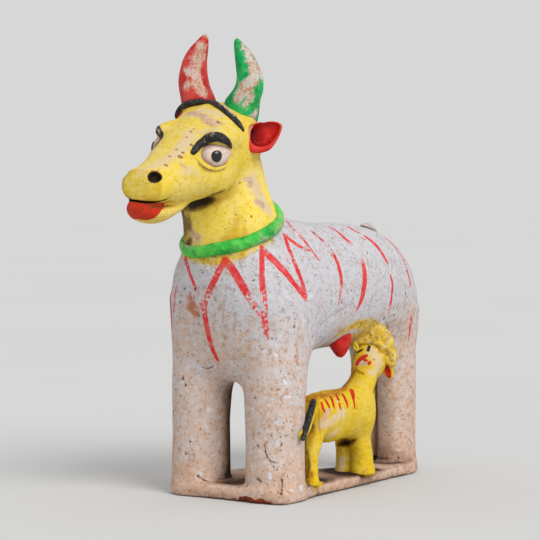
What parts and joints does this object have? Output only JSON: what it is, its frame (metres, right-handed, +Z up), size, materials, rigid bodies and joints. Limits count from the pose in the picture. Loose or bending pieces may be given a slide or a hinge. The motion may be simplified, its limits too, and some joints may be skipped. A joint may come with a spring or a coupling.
{
  "type": "cow figurine",
  "caption": "Standing painted clay cow with a suckling calf beneath it on a thin clay base, a free-standing ornament that rests on its flat underside.",
  "frame": {"origin": "on the flat underside of the base, in the middle of its width, below the middle of the cow's trunk", "axes": "+Z up; the cow looks along -Y; +X is the cow's left side, where the calf stands"},
  "size_m": [0.1004, 0.2968, 0.2996],
  "materials": {
    "slip": "matte white slip, worn to pinkish terracotta, red brush stripes",
    "yellow": "chrome yellow paint on clay, scuffed",
    "red": "red paint on clay, worn",
    "green": "green paint on clay, worn",
    "black": "black paint on clay, chipped",
    "eye_white": "pinkish white paint on clay, slightly glossy"
  },
  "bodies": {
    "root": {"base_slab": "slip", "trunk": "slip", "front_left_leg": "slip", "front_right_leg": "slip", "hind_left_leg": "slip", "hind_right_leg": "slip", "tail": "slip", "neck": "yellow", "head": "yellow", "left_lower_eyelid": "yellow", "right_lower_eyelid": "yellow", "calf_trunk": "yellow", "calf_front_left_leg": "yellow", "calf_front_right_leg": "yellow", "calf_hind_left_leg": "yellow", "calf_hind_right_leg": "yellow", "calf_neck": "yellow", "calf_head": "yellow", "calf_right_ear": "yellow", "lower_jaw": "red", "right_horn": "red", "left_ear": "red", "right_ear": "red", "teat": "red", "calf_left_ear": "red", "collar": "green", "left_horn": "green", "left_pupil": "black", "right_pupil": "black", "left_eyebrow": "black", "right_eyebrow": "black", "forelock": "black", "calf_tail": "black", "left_eyeball": "eye_white", "right_eyeball": "eye_white"}
  },
  "joints": []
}
